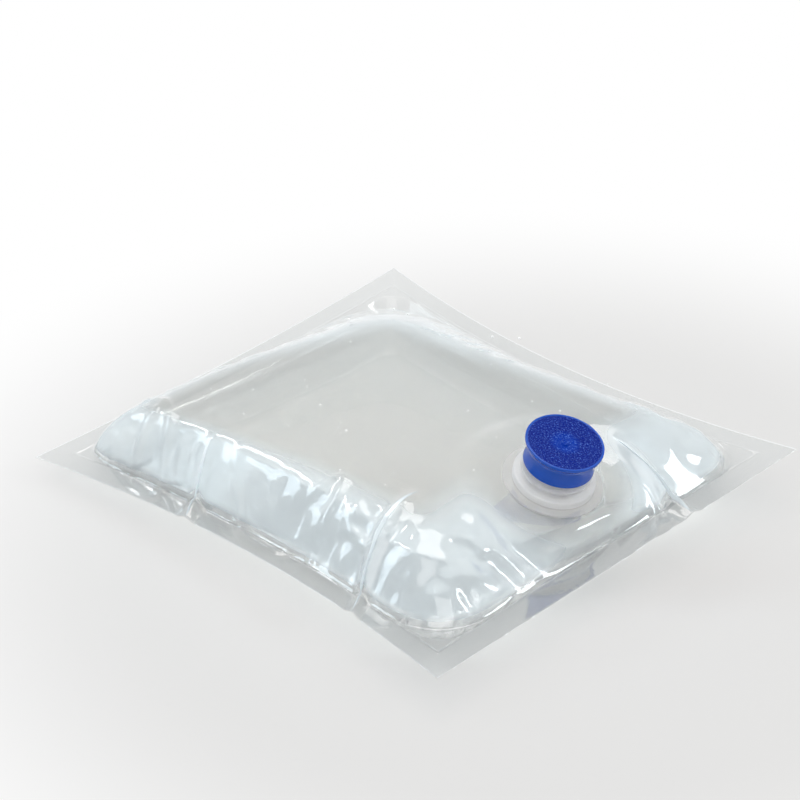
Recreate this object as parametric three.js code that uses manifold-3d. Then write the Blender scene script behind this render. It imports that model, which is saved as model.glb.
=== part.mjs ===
// A clear film liner bag for a bag-in-box pack, lying on its back panel, filled with water and closed
// with a push-in cap. Two film panels are heat sealed to each other along four edges, and a moulded
// spout is welded into the front panel.
//
// Millimetres, +Z up. X runs along the bag towards the spout end, Y across it, and the origin is on
// the floor below the middle of the bag. The panels are functions of two parameters: a runs from -1
// at the tail end to 1 at the spout end, and b from -1 at the near side to 1 at the far side.

import * as THREE from "three";
import { mergeVertices } from "three/addons/utils/BufferGeometryUtils.js";
import Module from "manifold-3d";

// Bag, as it lies filled
const bagLength = 257;
const bagWidth = 233;
const tailBow = 7; // how far the middle of each edge is drawn in by the filling
const spoutEndBow = 3;
const nearBow = 13;
const farBow = 12;
const filmGauge = 0.2; // a panel: two plies of 0.1
const sealGap = 0.3; // weld line between the two panels
const sealWidth = 12;
const panelCrown = 1.2; // rise of the taut front panel from its shoulders to its middle

// Height above the floor
const fillHeight = 43.5; // front panel at the spout
const tailDip = 6; // fall of the front panel's flat from there to the tail end
const airDepth = 4.5; // front panel at the spout down to the water's surface
const tailNearHeight = 9.5; // seal at the four corners
const spoutNearHeight = 18.5;
const spoutFarHeight = 24;
const tailFarHeight = 19.5;
const nearHeight = 13; // seal at the middle of the four edges
const spoutEndHeight = 18;
const farHeight = 18.5;
const tailHeight = 17;

// Width of the rounded slopes between the seal and the flat of a panel
const nearTailSlope = 16;
const nearSpoutSlope = 50;
const farTailSlope = 72;
const farSpoutSlope = 42;
const tailNearSlope = 44;
const tailFarSlope = 78;
const spoutEndSlope = 46;
const underSlope = 30; // back panel, all round
const cornerPower = 3; // how square the filled space is in the corners
const shoulderPower = 2.2; // how soon the front panel rises from the seal

// Gathers: folds that stand up from the panel where the seal is longer than the filled edge
const gatherHeight = 5.5;
const gatherHalfWidth = 6;
const tailGatherX = -38; // where the two near gathers start on the near edge
const tailGatherReach = 30;
const frontGatherX = 70;
const frontGatherReach = 62;
const gatherAtWeld = 0.35; // share of a gather's height at the edge
const gatherRise = 3; // it is at its full height after this part of its reach, as 1 / 3
const gatherSlant = 0.47; // how far the near gathers lean to the tail for each millimetre inward
const endGatherY = 47; // where the end gather starts on the spout end
const endGatherReach = 44;

// Spout
const flangeToSeal = 9.6; // flange to the inner line of the spout end's seal
const spoutOffset = 4.3; // axis to the bag's centre line
const spoutTilt = 16; // degrees from upright, towards the spout end
const boreDiameter = 25.4;
const flangeDiameter = 45;
const flangeThickness = 1.3;
const weldDiameter = 37; // raised ring that locates the film
const weldHeight = 3.4;
const neckDiameter = 28.6;
const collarDiameter = 31.8;
const collarBottom = 5.6;
const collarThickness = 1.5;
const neckHeight = 9.8;
const spoutBevel = 0.5; // on the collar, the neck and under the flange
const flangeLip = 0.4; // on the flange's upper edge
const boreBevel = 0.8; // at the mouth, and on the raised ring
const spoutClearance = 0.3; // film to ring and film to flange

// Cap
const capDiameter = 35;
const capHeight = 12.4;
const capWaistDiameter = 30.2; // outside, where the skirt is drawn in below the disc
const capSkirtDiameter = 31.8;
const capDiscThickness = 2;
const capRimRadius = 0.8;
const capRimRise = 0.25; // rim above the disc's face
const capBevel = 0.4; // on the foot of the skirt and in the mouth of the plug
const capFootHeight = 1.6; // straight foot of the skirt
const waistBottom = 0.3; // waist, as shares of the height
const waistMiddle = 0.52;
const waistTop = 0.7;
const waistFlare = 0.7; // skirt's growth from the waist's middle to its top
const plugLead = 1.2; // taper on the plug's end
const plugDepth = 6.6; // below the skirt
const plugWall = 1.5;
const plugClearance = 0.3;
const seatClearance = 0.3; // skirt to the top of the neck
const gateRecessDiameter = 6.8; // dished ring round the gate mark
const gateRecessDepth = 0.5;
const gateMarkDiameter = 2.9;
const gateMarkDrop = 0.1; // below the rim

// Water
const waterClearance = 0.3; // to the inside of both panels
const waterInside = 2; // from the seal's inner line to the water's rim
const waterRim = 0.1; // least depth of the water

// How the surfaces are divided
const flangeMargin = 2.5; // film that lies flat beyond the flange
const flangeBlend = 22; // from there to the free film
const slopeSteps = [4, 10, 17, 26, 38, 62, 90]; // stations inward of the seal
const leastStep = 2.5;
const roundSegments = 48;
const spoutRings = [0.5, 1]; // rings of points from the net to the flange, as shares of the way
const outlineStations = [-0.45, -0.15, 0.15, 0.45]; // along each side of the water's rim
const cornerPoints = 5;
const normalStep = 0.01;
const mergeTolerance = 1e-4;

const filmMaterial = new THREE.MeshStandardMaterial({
  color: 0xe3ecee, roughness: 0.08, metalness: 0, transparent: true, opacity: 0.3,
});
const spoutMaterial = new THREE.MeshStandardMaterial({ color: 0xe9ecef, roughness: 0.35, metalness: 0 });
const capMaterial = new THREE.MeshStandardMaterial({ color: 0x0f43b4, roughness: 0.3, metalness: 0 });
const waterMaterial = new THREE.MeshStandardMaterial({
  color: 0xdfeaec, roughness: 0.02, metalness: 0, transparent: true, opacity: 0.4,
});

const wasm = await Module();
wasm.setup();

function lerp(from, to, t) {
  return from + (to - from) * t;
}

function clamp01(t) {
  return Math.min(1, Math.max(0, t));
}

function smooth(t) {
  const c = clamp01(t);
  return c * c * (3 - 2 * c);
}

// A parabola through the values at -1, 0 and 1.
function through(low, middle, high, t) {
  return middle + (high - low) * t / 2 + ((high + low) / 2 - middle) * t * t;
}

// Plan position of a point: a rectangle whose four edges are drawn in as parabolas. Lines of
// constant a lean to the tail near the near side, so that they run along the gathers.
function planPoint(a, b) {
  const endBow = a < 0 ? tailBow : spoutEndBow;
  const sideBow = b < 0 ? nearBow : farBow;
  const lean = gatherSlant * (bagWidth / 2) * (1 + b) * (1 - b) ** 2 / 4 * smooth(2 - 2 * Math.abs(a));
  const x = a * (bagLength / 2 - endBow * (1 - b * b)) - lean;
  const y = b * (bagWidth / 2 - sideBow * (1 - a * a));
  return { x, y };
}

// Height of the seal carried inwards: each edge is a parabola, and a Coons patch joins the four.
function sealHeight(a, b) {
  const u = (1 + a) / 2;
  const v = (1 + b) / 2;
  const near = through(tailNearHeight, nearHeight, spoutNearHeight, a);
  const far = through(tailFarHeight, farHeight, spoutFarHeight, a);
  const tail = through(tailNearHeight, tailHeight, tailFarHeight, b);
  const spoutEnd = through(spoutNearHeight, spoutEndHeight, spoutFarHeight, b);
  const corners = lerp(lerp(tailNearHeight, spoutNearHeight, u), lerp(tailFarHeight, spoutFarHeight, u), v);
  return lerp(near, far, v) + lerp(tail, spoutEnd, u) - corners;
}

// Distance from the seal's inner line, along X and along Y, as plan lengths.
function insetFromEnds(a) {
  return (1 - Math.abs(a)) * bagLength / 2 - sealWidth;
}

function insetFromSides(b) {
  return (1 - Math.abs(b)) * bagWidth / 2 - sealWidth;
}

// How far a point has climbed the slope: 0 at the seal's inner line and 1 on the flat.
function climb(alongX, alongY) {
  const restX = Math.max(0, 1 - alongX);
  const restY = Math.max(0, 1 - alongY);
  return clamp01(1 - (restX ** cornerPower + restY ** cornerPower) ** (1 / cornerPower));
}

function frontClimb(a, b) {
  const nearSlope = lerp(nearTailSlope, nearSpoutSlope, smooth((1 + a) / 2));
  const farSlope = lerp(farTailSlope, farSpoutSlope, smooth((1 + a) / 2));
  const tailSlope = lerp(tailNearSlope, tailFarSlope, smooth((1 + b) / 2));
  return climb(
    insetFromEnds(a) / (a < 0 ? tailSlope : spoutEndSlope),
    insetFromSides(b) / (b < 0 ? nearSlope : farSlope),
  );
}

function backClimb(a, b) {
  return climb(insetFromEnds(a) / underSlope, insetFromSides(b) / underSlope);
}

// One gather: a gable across, fading out along its reach from the edge.
function gather(across, inward, reach) {
  const gable = Math.max(0, 1 - Math.abs(across) / gatherHalfWidth);
  const along = clamp01(inward / reach);
  return gatherHeight * gable * lerp(gatherAtWeld, 1, smooth(along * gatherRise)) * (1 - along ** 2);
}

// a of a line of constant a that meets the near edge at x, and b of one that meets the spout end at y.
const tailGatherA = tailGatherX / (bagLength / 2);
const frontGatherA = frontGatherX / (bagLength / 2);
const endGatherB = endGatherY / (bagWidth / 2);

// Height that the gathers add to the seal and to the panels beside it.
function gathers(a, b) {
  const fromNear = (1 + b) * bagWidth / 2;
  const fromEnd = (1 - a) * bagLength / 2;
  return gather((a - tailGatherA) * bagLength / 2, fromNear, tailGatherReach)
    + gather((a - frontGatherA) * bagLength / 2, fromNear, frontGatherReach)
    + gather((b - endGatherB) * bagWidth / 2, fromEnd, endGatherReach);
}

const panelOffset = (sealGap + filmGauge) / 2; // weld line to the middle of either panel
const tilt = THREE.MathUtils.degToRad(spoutTilt);
const spoutY = spoutOffset;

// X of the inner line of the spout end's seal.
function endSealX(b) {
  return planPoint(1 - sealWidth * 2 / bagLength, b).x;
}

const spoutX = endSealX(spoutY * 2 / bagWidth) - flangeToSeal - (flangeDiameter / 2) * Math.cos(tilt);

// The flange's high edge stands level with the flat of the panel.
const spoutZ = fillHeight - (flangeDiameter / 2) * Math.sin(tilt);

// Weld line, and the same surface carried inwards.
function sealSurface(a, b) {
  return sealHeight(a, b) + gathers(a, b);
}

// Front panel before the spout is welded in.
function frontPillow(a, b) {
  const rise = 1 - (1 - frontClimb(a, b)) ** shoulderPower;
  const crown = panelCrown * (1 - a * a) * (1 - b * b);
  const dip = tailDip * ((1 - a) / 2) ** 2;
  return lerp(sealHeight(a, b), fillHeight + crown - dip, rise) + gathers(a, b);
}

// Front panel: the film lies flat on the spout's flange and returns to the pillow round it.
function frontHeight(a, b) {
  const { x, y } = planPoint(a, b);
  const fromAxis = Math.hypot((x - spoutX) / Math.cos(tilt), y - spoutY);
  const flat = spoutZ - Math.tan(tilt) * (x - spoutX);
  const nearFlange = 1 - smooth((fromAxis - flangeDiameter / 2 - flangeMargin) / flangeBlend);
  const held = nearFlange * smooth((endSealX(b) - x) / (flangeToSeal - 2 * flangeMargin));
  return lerp(frontPillow(a, b), flat, held) + panelOffset;
}

// Back panel: it drops from the seal, rolls under and lies flat on the floor.
function backHeight(a, b) {
  const hang = (1 - backClimb(a, b)) ** shoulderPower;
  return lerp(filmGauge / 2, sealHeight(a, b) + gathers(a, b) - panelOffset, hang);
}

function surfacePoint(heightOf, a, b) {
  const { x, y } = planPoint(a, b);
  return new THREE.Vector3(x, y, heightOf(a, b));
}

// Unit normal of a surface, from the differences of four points close by.
function surfaceNormal(heightOf, a, b) {
  const step = normalStep;
  const alongA = surfacePoint(heightOf, Math.min(1, a + step), b)
    .sub(surfacePoint(heightOf, Math.max(-1, a - step), b));
  const alongB = surfacePoint(heightOf, a, Math.min(1, b + step))
    .sub(surfacePoint(heightOf, a, Math.max(-1, b - step)));
  return alongA.cross(alongB).normalize();
}

// Stations across a panel: close together over the seal and the slopes, far apart on the flat, and
// three to each gather.
function stations(halfSpan, folds) {
  const fromEdge = [0, sealWidth / 2, sealWidth];
  const slopes = slopeSteps.map((step) => sealWidth + step);
  const oneSide = [...fromEdge, ...slopes].map((step) => step / halfSpan - 1);
  const gatherLines = folds.flatMap((at) => [-1, 0, 1].map((side) => at + side * gatherHalfWidth / halfSpan));
  const plain = [...oneSide, 0, ...oneSide.map((t) => -t)].filter(
    (t) => gatherLines.every((line) => Math.abs(t - line) > leastStep / halfSpan),
  );
  return [...plain, ...gatherLines].sort((left, right) => left - right);
}

const aStations = stations(bagLength / 2, [tailGatherA, frontGatherA]);
const bStations = stations(bagWidth / 2, [endGatherB]);

// a and b of a plan position, by stepping towards it.
function parametersAt(x, y) {
  let a = x / (bagLength / 2);
  let b = y / (bagWidth / 2);
  for (let step = 0; step < 30; step += 1) {
    const reached = planPoint(a, b);
    a += (x - reached.x) / (bagLength / 2);
    b += (y - reached.y) / (bagWidth / 2);
  }
  return [a, b];
}

// The net of triangles that the two panels and the water share: a grid of stations, in which rings
// round the spout's axis take the place of the cells that its flange covers. Points are [a, b].
function bagNet() {
  const columns = bStations.length;
  const points = aStations.flatMap((a) => bStations.map((b) => [a, b]));
  const triangles = [];
  const [axisA, axisB] = parametersAt(spoutX, spoutY);
  const reach = flangeDiameter / 2 + 2 * flangeMargin;
  const before = (list, t) => list.findLastIndex((station) => station <= t);
  const after = (list, t) => list.findIndex((station) => station >= t);
  const i0 = before(aStations, axisA - reach * 2 / bagLength);
  const i1 = after(aStations, axisA + reach * 2 / bagLength);
  const j0 = before(bStations, axisB - reach * 2 / bagWidth);
  const j1 = after(bStations, axisB + reach * 2 / bagWidth);
  for (let i = 0; i < aStations.length - 1; i += 1) {
    for (let j = 0; j < columns - 1; j += 1) {
      if (i >= i0 && i < i1 && j >= j0 && j < j1) continue;
      const k = i * columns + j;
      triangles.push([k, k + columns, k + columns + 1], [k, k + columns + 1, k + 1]);
    }
  }
  let ring = [];
  for (let i = i0; i < i1; i += 1) ring.push(i * columns + j0);
  for (let j = j0; j < j1; j += 1) ring.push(i1 * columns + j);
  for (let i = i1; i > i0; i -= 1) ring.push(i * columns + j1);
  for (let j = j1; j > j0; j -= 1) ring.push(i0 * columns + j);
  const round = ring.map((k) => {
    const { x, y } = planPoint(...points[k]);
    const along = (x - spoutX) / Math.cos(tilt);
    return { angle: Math.atan2(y - spoutY, along), radius: Math.hypot(along, y - spoutY) };
  });
  spoutRings.forEach((inward) => {
    const inner = round.map(({ angle, radius }) => {
      const r = lerp(radius, flangeDiameter / 2 + flangeMargin, inward);
      points.push(parametersAt(spoutX + r * Math.cos(angle) * Math.cos(tilt), spoutY + r * Math.sin(angle)));
      return points.length - 1;
    });
    ring.forEach((outer, index) => {
      const next = (index + 1) % ring.length;
      triangles.push([outer, ring[next], inner[next]], [outer, inner[next], inner[index]]);
    });
    ring = inner;
  });
  points.push([axisA, axisB]);
  ring.forEach((k, index) => triangles.push([k, ring[(index + 1) % ring.length], points.length - 1]));
  return { points, triangles };
}

const net = bagNet();

// The surface at every point of the net, moved along its normals.
function netLayer(heightOf, offset) {
  return net.points.map(([a, b]) => (
    surfacePoint(heightOf, a, b).addScaledVector(surfaceNormal(heightOf, a, b), offset)
  ));
}

// A closed solid between two layers over the same triangles, with walls round their rim.
function netSolid(upper, lower, triangles = net.triangles) {
  const under = upper.length;
  const faces = triangles.flatMap(([p, q, r]) => [p, q, r, under + p, under + r, under + q]);
  const edges = new Set(triangles.flatMap(([p, q, r]) => [`${p} ${q}`, `${q} ${r}`, `${r} ${p}`]));
  edges.forEach((edge) => {
    const [p, q] = edge.split(" ").map(Number);
    if (!edges.has(`${q} ${p}`)) faces.push(p, under + p, under + q, p, under + q, q);
  });
  const geometry = new THREE.BufferGeometry();
  const coordinates = [...upper, ...lower].flatMap((point) => point.toArray());
  geometry.setAttribute("position", new THREE.Float32BufferAttribute(coordinates, 3));
  geometry.setIndex(faces);
  return geometry;
}

function filmPanel(heightOf) {
  return netSolid(netLayer(heightOf, filmGauge / 2), netLayer(heightOf, -filmGauge / 2));
}

function solidFrom(geometry) {
  const bare = geometry.clone();
  bare.deleteAttribute("normal");
  bare.deleteAttribute("uv");
  const merged = mergeVertices(bare, mergeTolerance);
  return new wasm.Manifold(new wasm.Mesh({
    numProp: 3,
    vertProperties: new Float32Array(merged.getAttribute("position").array),
    triVerts: new Uint32Array(merged.index.array),
  }));
}

function geometryFrom(solid) {
  const { vertProperties, triVerts } = solid.getMesh();
  const geometry = new THREE.BufferGeometry();
  geometry.setAttribute("position", new THREE.BufferAttribute(vertProperties, 3));
  geometry.setIndex(new THREE.BufferAttribute(triVerts, 1));
  geometry.computeVertexNormals();
  return geometry;
}

// The spout's own frame: Z along its axis, and 0 in the middle of the film.
function placeOnSpout(geometry) {
  return geometry.rotateY(tilt).translate(spoutX, spoutY, spoutZ + panelOffset);
}

// A cylinder along the spout's axis that cuts the film or the water.
function spoutBar(radius, low, high) {
  const bar = new THREE.CylinderGeometry(radius, radius, high - low, roundSegments);
  bar.rotateX(Math.PI / 2).translate(0, 0, (low + high) / 2);
  return solidFrom(placeOnSpout(bar));
}

// A revolved piece from its half section, listed as radius and height round the closed outline.
function revolved(outline) {
  const closed = [...outline, outline[0]].map(([radius, height]) => new THREE.Vector2(radius, height));
  return new THREE.LatheGeometry(closed, roundSegments).rotateX(Math.PI / 2);
}

// Points of a round edge in a half section, from one angle to another in degrees.
function roundEdge(radius, height, edge, from, to, steps = 3) {
  return Array.from({ length: steps + 1 }, (_, index) => {
    const angle = THREE.MathUtils.degToRad(lerp(from, to, index / steps));
    return [radius + edge * Math.cos(angle), height + edge * Math.sin(angle)];
  });
}

function frontFilm() {
  const hole = spoutBar(weldDiameter / 2 + spoutClearance, -flangeDiameter, flangeDiameter);
  return geometryFrom(solidFrom(filmPanel(frontHeight)).subtract(hole));
}

function backFilm() {
  return filmPanel(backHeight);
}

// Outline of the filled space in plan, a distance inside the seal's inner line: straight runs that
// bow with the edges, joined by round corners.
function fillOutline(inside) {
  const corner = (signA, signB, slopeA, slopeB) => Array.from({ length: cornerPoints }, (_, index) => {
    const turn = (index / (cornerPoints - 1)) * Math.PI / 2;
    const restA = Math.cos(turn) ** (2 / cornerPower);
    const restB = Math.sin(turn) ** (2 / cornerPower);
    const insetA = sealWidth + inside + slopeA * (1 - restA);
    const insetB = sealWidth + inside + slopeB * (1 - restB);
    return planPoint(signA * (1 - insetA * 2 / bagLength), signB * (1 - insetB * 2 / bagWidth));
  });
  const run = (points) => points.map(([a, b]) => planPoint(
    a * (1 - (sealWidth + inside) * 2 / bagLength),
    b * (1 - (sealWidth + inside) * 2 / bagWidth),
  ));
  const reversed = [...outlineStations].reverse();
  return [
    ...corner(1, 1, spoutEndSlope, farSpoutSlope),
    ...run(reversed.map((t) => [t, 1])),
    ...corner(-1, 1, tailFarSlope, farTailSlope).reverse(),
    ...run(reversed.map((t) => [-1, t])),
    ...corner(-1, -1, tailNearSlope, nearTailSlope),
    ...run(outlineStations.map((t) => [t, -1])),
    ...corner(1, -1, spoutEndSlope, nearSpoutSlope).reverse(),
    ...run(outlineStations.map((t) => [1, t])),
  ];
}

// The water fills the bag up to its level surface, below the bubble of air. It follows both panels at
// a clearance, and the spout's flange stands in it.
function water() {
  const inset = filmGauge / 2 + waterClearance;
  const level = fillHeight - airDepth;
  const roof = netLayer(frontHeight, -inset);
  const floor = netLayer(backHeight, inset);
  roof.forEach((top, index) => {
    top.z = Math.min(top.z, level);
    if (top.z - floor[index].z > waterRim) return;
    const [a, b] = net.points[index];
    const seal = surfacePoint(sealSurface, a, b);
    top.set(seal.x, seal.y, seal.z + waterRim / 2);
    floor[index].set(seal.x, seal.y, seal.z - waterRim / 2);
  });
  const outline = new THREE.Shape(fillOutline(waterInside).map(({ x, y }) => new THREE.Vector2(x, y)));
  const prism = new THREE.ExtrudeGeometry(outline, { depth: 2 * fillHeight, bevelEnabled: false });
  const flangeSpace = spoutBar(
    flangeDiameter / 2 + waterClearance,
    -filmGauge / 2 - spoutClearance - flangeThickness - waterClearance,
    fillHeight,
  );
  return geometryFrom(
    solidFrom(netSolid(roof, floor)).intersect(solidFrom(prism)).subtract(flangeSpace),
  );
}

function spout() {
  const bore = boreDiameter / 2;
  const flangeTop = -filmGauge / 2 - spoutClearance;
  const collarTop = collarBottom + collarThickness;
  return revolved([
    [bore, flangeTop - flangeThickness],
    [flangeDiameter / 2 - spoutBevel, flangeTop - flangeThickness],
    [flangeDiameter / 2, flangeTop - flangeThickness + spoutBevel],
    [flangeDiameter / 2, flangeTop - flangeLip],
    [flangeDiameter / 2 - flangeLip, flangeTop],
    [weldDiameter / 2, flangeTop],
    ...roundEdge(weldDiameter / 2 - boreBevel, weldHeight - boreBevel, boreBevel, 0, 90, 2),
    [neckDiameter / 2 + boreBevel, weldHeight],
    [neckDiameter / 2, weldHeight + boreBevel],
    [neckDiameter / 2, collarBottom - spoutBevel],
    [collarDiameter / 2 - spoutBevel, collarBottom],
    [collarDiameter / 2, collarBottom + spoutBevel],
    [collarDiameter / 2, collarTop - spoutBevel],
    [collarDiameter / 2 - spoutBevel, collarTop],
    [neckDiameter / 2, collarTop + spoutBevel],
    [neckDiameter / 2, neckHeight - spoutBevel],
    [neckDiameter / 2 - spoutBevel, neckHeight],
    [bore + boreBevel, neckHeight],
    [bore, neckHeight - boreBevel],
  ]);
}

function cap() {
  const skirt = neckHeight + seatClearance;
  const top = skirt + capHeight;
  const disc = capDiameter / 2;
  const plug = boreDiameter / 2 - plugClearance;
  const plugBottom = skirt - plugDepth;
  const hollow = plug - plugWall;
  const ceiling = top - capDiscThickness;
  const recess = gateRecessDiameter / 2;
  const gate = gateMarkDiameter / 2;
  return revolved([
    [0, ceiling],
    [hollow - capRimRadius, ceiling],
    [hollow, ceiling - capRimRadius],
    [hollow, plugBottom + capBevel],
    [hollow + capBevel, plugBottom],
    [plug - capRimRadius, plugBottom],
    [plug, plugBottom + plugLead],
    [plug, skirt],
    [capSkirtDiameter / 2 - capBevel, skirt],
    [capSkirtDiameter / 2, skirt + capBevel],
    [capSkirtDiameter / 2, skirt + capFootHeight],
    [capWaistDiameter / 2, skirt + capHeight * waistBottom],
    [capWaistDiameter / 2, skirt + capHeight * waistMiddle],
    [capWaistDiameter / 2 + waistFlare, skirt + capHeight * waistTop],
    [disc - capRimRadius, ceiling],
    ...roundEdge(disc - capRimRadius, top - capRimRadius, capRimRadius, -50, 80, 4),
    [disc - 2 * capRimRadius, top - capRimRise],
    [recess + capRimRadius, top - capRimRise],
    [recess, top - gateRecessDepth],
    [gate + capBevel, top - gateRecessDepth],
    [gate, top - gateMarkDrop],
    [0, top - gateMarkDrop],
  ]);
}

function piece(name, geometry, material) {
  const mesh = new THREE.Mesh(geometry, material);
  mesh.name = name;
  return mesh;
}

const bag = new THREE.Group();
bag.add(
  piece("front_film", frontFilm(), filmMaterial),
  piece("back_film", backFilm(), filmMaterial),
  piece("liquid_fill", water(), waterMaterial),
);

// The spout and its cap share a frame on the front panel.
const fitment = new THREE.Group();
fitment.position.set(spoutX, spoutY, spoutZ + panelOffset);
fitment.rotation.y = tilt;
fitment.add(piece("spout", spout(), spoutMaterial), piece("cap", cap(), capMaterial));
bag.add(fitment);

export default bag;
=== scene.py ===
"""A clear film liner bag, filled with water and lying on its back panel, with a moulded spout and cap.

Lengths are millimetres in the classes and become metres when a mesh is made. The film panels are
functions of two parameters: a runs from -1 at the tail end to 1 at the spout end, and b from -1 at
the near side to 1 at the far side.
"""

import logging
import math
from dataclasses import dataclass
from enum import Enum

import bpy
import numpy as np
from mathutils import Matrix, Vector


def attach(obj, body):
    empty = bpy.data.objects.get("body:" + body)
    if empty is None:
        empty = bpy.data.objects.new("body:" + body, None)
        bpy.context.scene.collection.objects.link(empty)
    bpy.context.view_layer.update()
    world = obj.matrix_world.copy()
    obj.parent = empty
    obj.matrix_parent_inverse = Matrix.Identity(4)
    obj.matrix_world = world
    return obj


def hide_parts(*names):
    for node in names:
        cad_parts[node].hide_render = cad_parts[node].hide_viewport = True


logging.basicConfig(level=logging.INFO, format="%(message)s")
log = logging.getLogger("bag")

MM = 0.001
Grid = np.ndarray

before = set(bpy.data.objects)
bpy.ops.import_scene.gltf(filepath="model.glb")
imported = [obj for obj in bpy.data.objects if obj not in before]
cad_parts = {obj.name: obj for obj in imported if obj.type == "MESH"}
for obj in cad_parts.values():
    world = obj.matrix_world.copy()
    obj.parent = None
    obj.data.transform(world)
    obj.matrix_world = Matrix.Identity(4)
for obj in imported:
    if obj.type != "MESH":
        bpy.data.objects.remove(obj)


class Side(Enum):
    """Which panel of the bag a surface belongs to."""

    FRONT = 1
    BACK = -1


def smooth(t: Grid) -> Grid:
    """Cubic ease from 0 to 1: three t squared less two t cubed, held beyond both ends."""
    c = np.clip(t, 0.0, 1.0)
    return c * c * (3.0 - 2.0 * c)


def lerp(start: Grid, end: Grid, t: Grid) -> Grid:
    """Straight blend from start to end."""
    return start + (end - start) * t


def through(low: float, middle: float, high: float, t: Grid) -> Grid:
    """A parabola through the values at -1, 0 and 1."""
    return middle + (high - low) * t / 2 + ((high + low) / 2 - middle) * t * t


def value_noise(x: Grid, y: Grid, seed: int) -> Grid:
    """Smooth noise from -1 to 1 in two dimensions.

    Formula: a lattice of seeded random heights, blended between its four nearest points by a cubic
    ease in each direction.

    Args:
        x: first coordinate, in lattice cells.
        y: second coordinate, in lattice cells.
        seed: seed of the lattice.

    Returns:
        The noise at each point.
    """
    table = np.random.default_rng(seed).uniform(-1, 1, (64, 64))
    xi, yi = np.floor(x).astype(int), np.floor(y).astype(int)
    fx, fy = smooth(x - xi), smooth(y - yi)

    def corner(i: int, j: int) -> Grid:
        """Lattice height at a cell's corner."""
        return table[(xi + i) % 64, (yi + j) % 64]

    low = lerp(corner(0, 0), corner(1, 0), fx)
    high = lerp(corner(0, 1), corner(1, 1), fx)
    return lerp(low, high, fy)


def mesh_object(name: str, points: Grid, faces: list | Grid, smooth_faces: bool = True) -> bpy.types.Object:
    """Makes an object from points in millimetres and faces, at the origin.

    Args:
        name: the object's name.
        points: points, three columns, in millimetres.
        faces: faces as lists of point numbers.
        smooth_faces: shade across the faces' edges.

    Returns:
        The linked object.
    """
    mesh = bpy.data.meshes.new(name)
    mesh.from_pydata((points * MM).tolist(), [], [list(map(int, f)) for f in faces])
    mesh.polygons.foreach_set("use_smooth", np.full(len(mesh.polygons), smooth_faces))
    mesh.update()
    piece = bpy.data.objects.new(name, mesh)
    bpy.context.scene.collection.objects.link(piece)
    return piece


def grid_quads(rows: int, columns: int) -> Grid:
    """Quads of a grid of points, counted row by row, facing up where rows run along X."""
    k = (np.arange(rows - 1)[:, None] * columns + np.arange(columns - 1)).ravel()
    return np.stack([k, k + columns, k + columns + 1, k + 1], axis=1)


def rim_walls(quads: Grid, count: int) -> Grid:
    """Quads that join the open edges of a top layer to a bottom one.

    Formula: an edge is open where no other quad has the same edge the other way round.

    Args:
        quads: the top layer's quads.
        count: points in one layer; the bottom layer's numbers are larger by this.

    Returns:
        One quad for each open edge.
    """
    edges = np.concatenate([quads[:, [k, (k + 1) % 4]] for k in range(4)])
    key = edges[:, 0] * count + edges[:, 1]
    back_key = edges[:, 1] * count + edges[:, 0]
    rim = edges[~np.isin(key, back_key)]
    return np.stack([rim[:, 0], rim[:, 0] + count, rim[:, 1] + count, rim[:, 1]], axis=1)


def grid_normals(points: Grid) -> Grid:
    """Unit normals of a grid surface, from the differences between its neighbours."""
    along_a = np.gradient(points, axis=0)
    along_b = np.gradient(points, axis=1)
    normal = np.cross(along_a, along_b)
    return normal / np.linalg.norm(normal, axis=-1, keepdims=True)


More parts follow.
